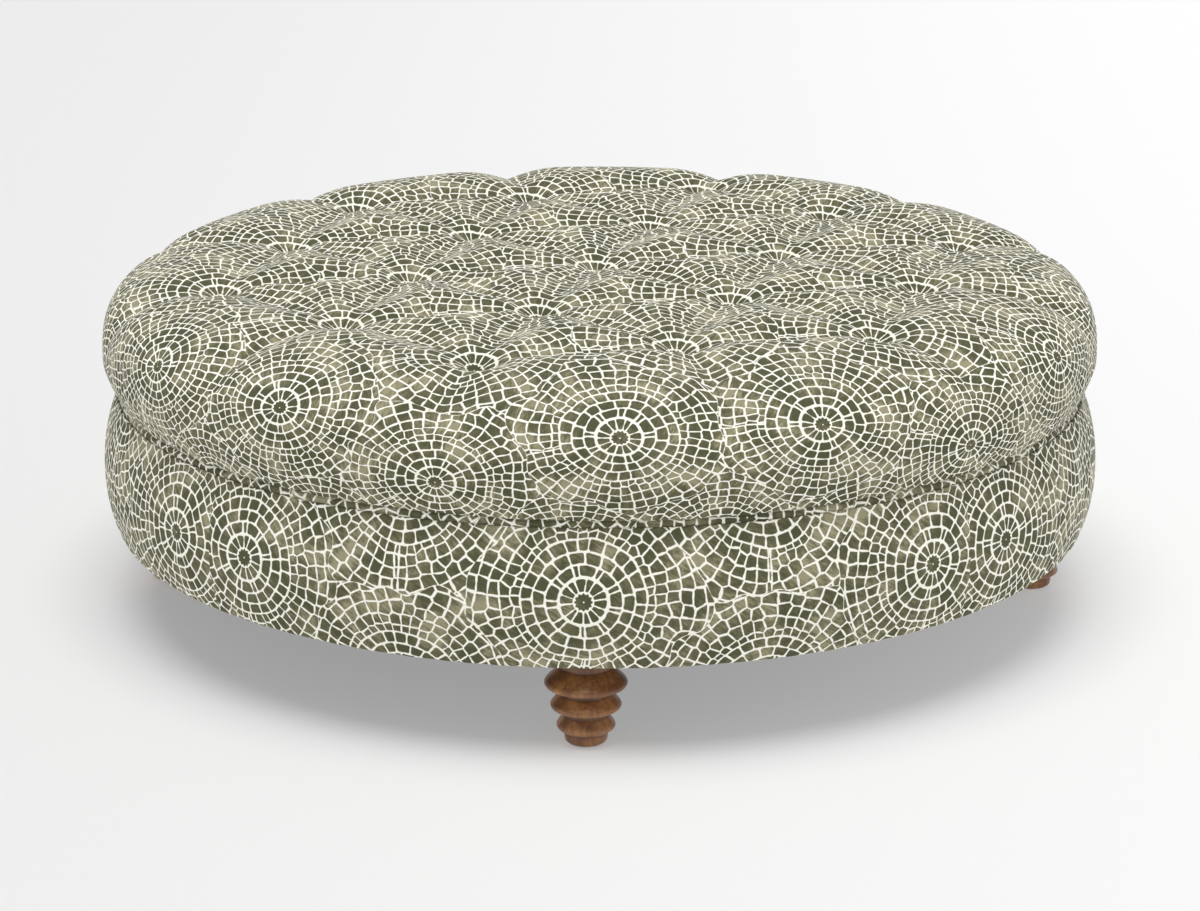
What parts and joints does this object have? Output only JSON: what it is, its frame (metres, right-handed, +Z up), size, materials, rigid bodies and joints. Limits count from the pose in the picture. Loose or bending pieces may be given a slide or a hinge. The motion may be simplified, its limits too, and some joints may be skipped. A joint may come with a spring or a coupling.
{
  "type": "tuffet",
  "caption": "Low round tufted ottoman with a piped waist, a bulged padded border and turned stacked-disc legs.",
  "frame": {"origin": "on the floor, under the centre of the round tuffet", "axes": "+Z up, -Y towards the front leg, +X towards the right leg; the four legs stand on the X and Y axes"},
  "size_m": [1.1708, 1.1708, 0.406],
  "materials": {
    "printed_cloth": "matte woven cloth, olive tesserae printed on cream",
    "foam": "open cell foam",
    "turned_wood": "satin, medium brown stain",
    "plywood": "raw",
    "pine": "raw sawn",
    "card": "raw fibreboard",
    "black_cambric": "matte non-woven",
    "zinc_steel": "zinc plated",
    "nylon": "moulded",
    "twine": "waxed twine with a plastic toggle"
  },
  "bodies": {
    "root": {"seat_cover": "printed_cloth", "seat_foam": "foam", "waist_welt": "printed_cloth", "tack_strip": "card", "border_cover": "printed_cloth", "border_foam": "foam", "side_band": "card", "seat_deck": "plywood", "base_board": "plywood", "dust_cover": "black_cambric", "upright_1": "pine", "upright_2": "pine", "upright_3": "pine", "upright_4": "pine", "upright_5": "pine", "upright_6": "pine", "upright_7": "pine", "upright_8": "pine", "leg_right": "turned_wood", "leg_back": "turned_wood", "leg_left": "turned_wood", "leg_front": "turned_wood", "glide_right": "nylon", "glide_back": "nylon", "glide_left": "nylon", "glide_front": "nylon", "hanger_bolt_right": "zinc_steel", "hanger_bolt_back": "zinc_steel", "hanger_bolt_left": "zinc_steel", "hanger_bolt_front": "zinc_steel", "tee_nut_right": "zinc_steel", "tee_nut_back": "zinc_steel", "tee_nut_left": "zinc_steel", "tee_nut_front": "zinc_steel", "leg_block_right": "pine", "leg_block_back": "pine", "leg_block_left": "pine", "leg_block_front": "pine", "tuft_tie_1": "twine", "tuft_tie_2": "twine", "tuft_tie_3": "twine", "tuft_tie_4": "twine", "tuft_tie_5": "twine", "tuft_tie_6": "twine", "tuft_tie_7": "twine", "tuft_tie_8": "twine", "tuft_tie_9": "twine", "tuft_tie_10": "twine", "tuft_tie_11": "twine", "tuft_tie_12": "twine", "tuft_tie_13": "twine", "tuft_tie_14": "twine", "tuft_tie_15": "twine", "tuft_tie_16": "twine", "tuft_tie_17": "twine", "tuft_tie_18": "twine", "tuft_tie_19": "twine"}
  },
  "joints": []
}
